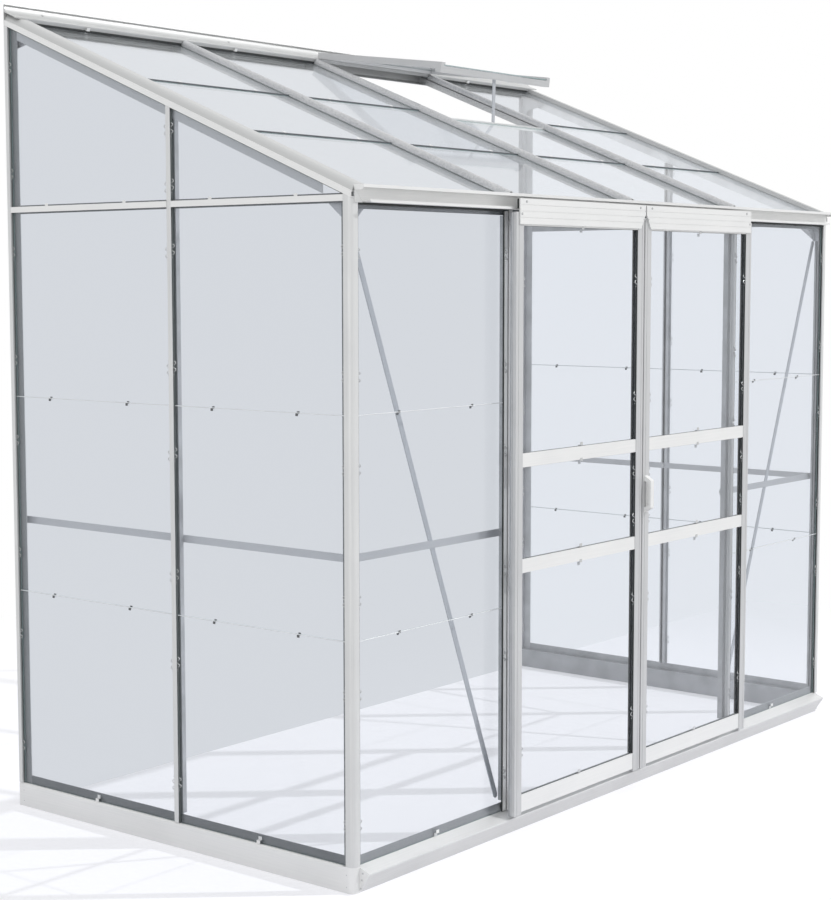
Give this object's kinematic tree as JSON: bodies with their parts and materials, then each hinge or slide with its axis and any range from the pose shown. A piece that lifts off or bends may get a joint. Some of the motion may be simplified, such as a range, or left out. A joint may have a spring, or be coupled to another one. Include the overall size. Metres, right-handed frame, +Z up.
{
  "type": "lean-to glass greenhouse",
  "caption": "Lean-to greenhouse of aluminium glazing bars and clear glass for a house wall, with a low base, sliding doors under an eave gutter and a propped roof vent.",
  "frame": {"origin": "Centre of the footprint box on the floor, under the base.", "axes": "+X runs along the front to the right as seen from outside, +Y runs from the doors to the house wall, +Z is up."},
  "size_m": [2.54, 1.351, 2.301],
  "materials": {
    "mill_aluminium": "satin",
    "clear_glass": "polished",
    "handle_plastic": "matte"
  },
  "bodies": {
    "frame": {"base_front": "mill_aluminium", "base_left": "mill_aluminium", "base_right": "mill_aluminium", "base_corners": "mill_aluminium", "corner_post_left": "mill_aluminium", "corner_post_right": "mill_aluminium", "wall_post_left": "mill_aluminium", "wall_post_right": "mill_aluminium", "gable_bar_left": "mill_aluminium", "gable_bar_right": "mill_aluminium", "gable_rafter_left": "mill_aluminium", "gable_rafter_right": "mill_aluminium", "gable_eave_rail_left": "mill_aluminium", "gable_eave_rail_right": "mill_aluminium", "mid_rails_left": "mill_aluminium", "mid_rails_right": "mill_aluminium", "door_post_left": "mill_aluminium", "door_post_right": "mill_aluminium", "eave_gutter": "mill_aluminium", "brace_left": "mill_aluminium", "brace_right": "mill_aluminium", "gusset_plates": "mill_aluminium", "ridge_plate": "mill_aluminium", "roof_bars": "mill_aluminium", "vent_sash": "mill_aluminium", "vent_glass": "clear_glass", "vent_stay": "mill_aluminium", "vent_sill": "mill_aluminium", "gable_glass_left": "clear_glass", "gable_glass_right": "clear_glass", "front_glass_left": "clear_glass", "front_glass_right": "clear_glass", "roof_glass_1": "clear_glass", "roof_glass_2": "clear_glass", "roof_glass_3": "clear_glass", "roof_glass_4": "clear_glass"},
    "left_door": {"door_left_stiles": "mill_aluminium", "door_left_rails": "mill_aluminium", "door_left_hanger": "mill_aluminium", "door_left_glass": "clear_glass"},
    "right_door": {"door_right_stiles": "mill_aluminium", "door_right_rails": "mill_aluminium", "door_right_hanger": "mill_aluminium", "door_right_glass": "clear_glass", "door_right_handle": "handle_plastic"}
  },
  "joints": [
    {"name": "left_door_slide", "type": "slide", "parent": "frame", "child": "left_door", "axis": [-1, 0, 0], "range_m": [0, 0.585]},
    {"name": "right_door_slide", "type": "slide", "parent": "frame", "child": "right_door", "axis": [1, 0, 0], "range_m": [0, 0.585]}
  ]
}
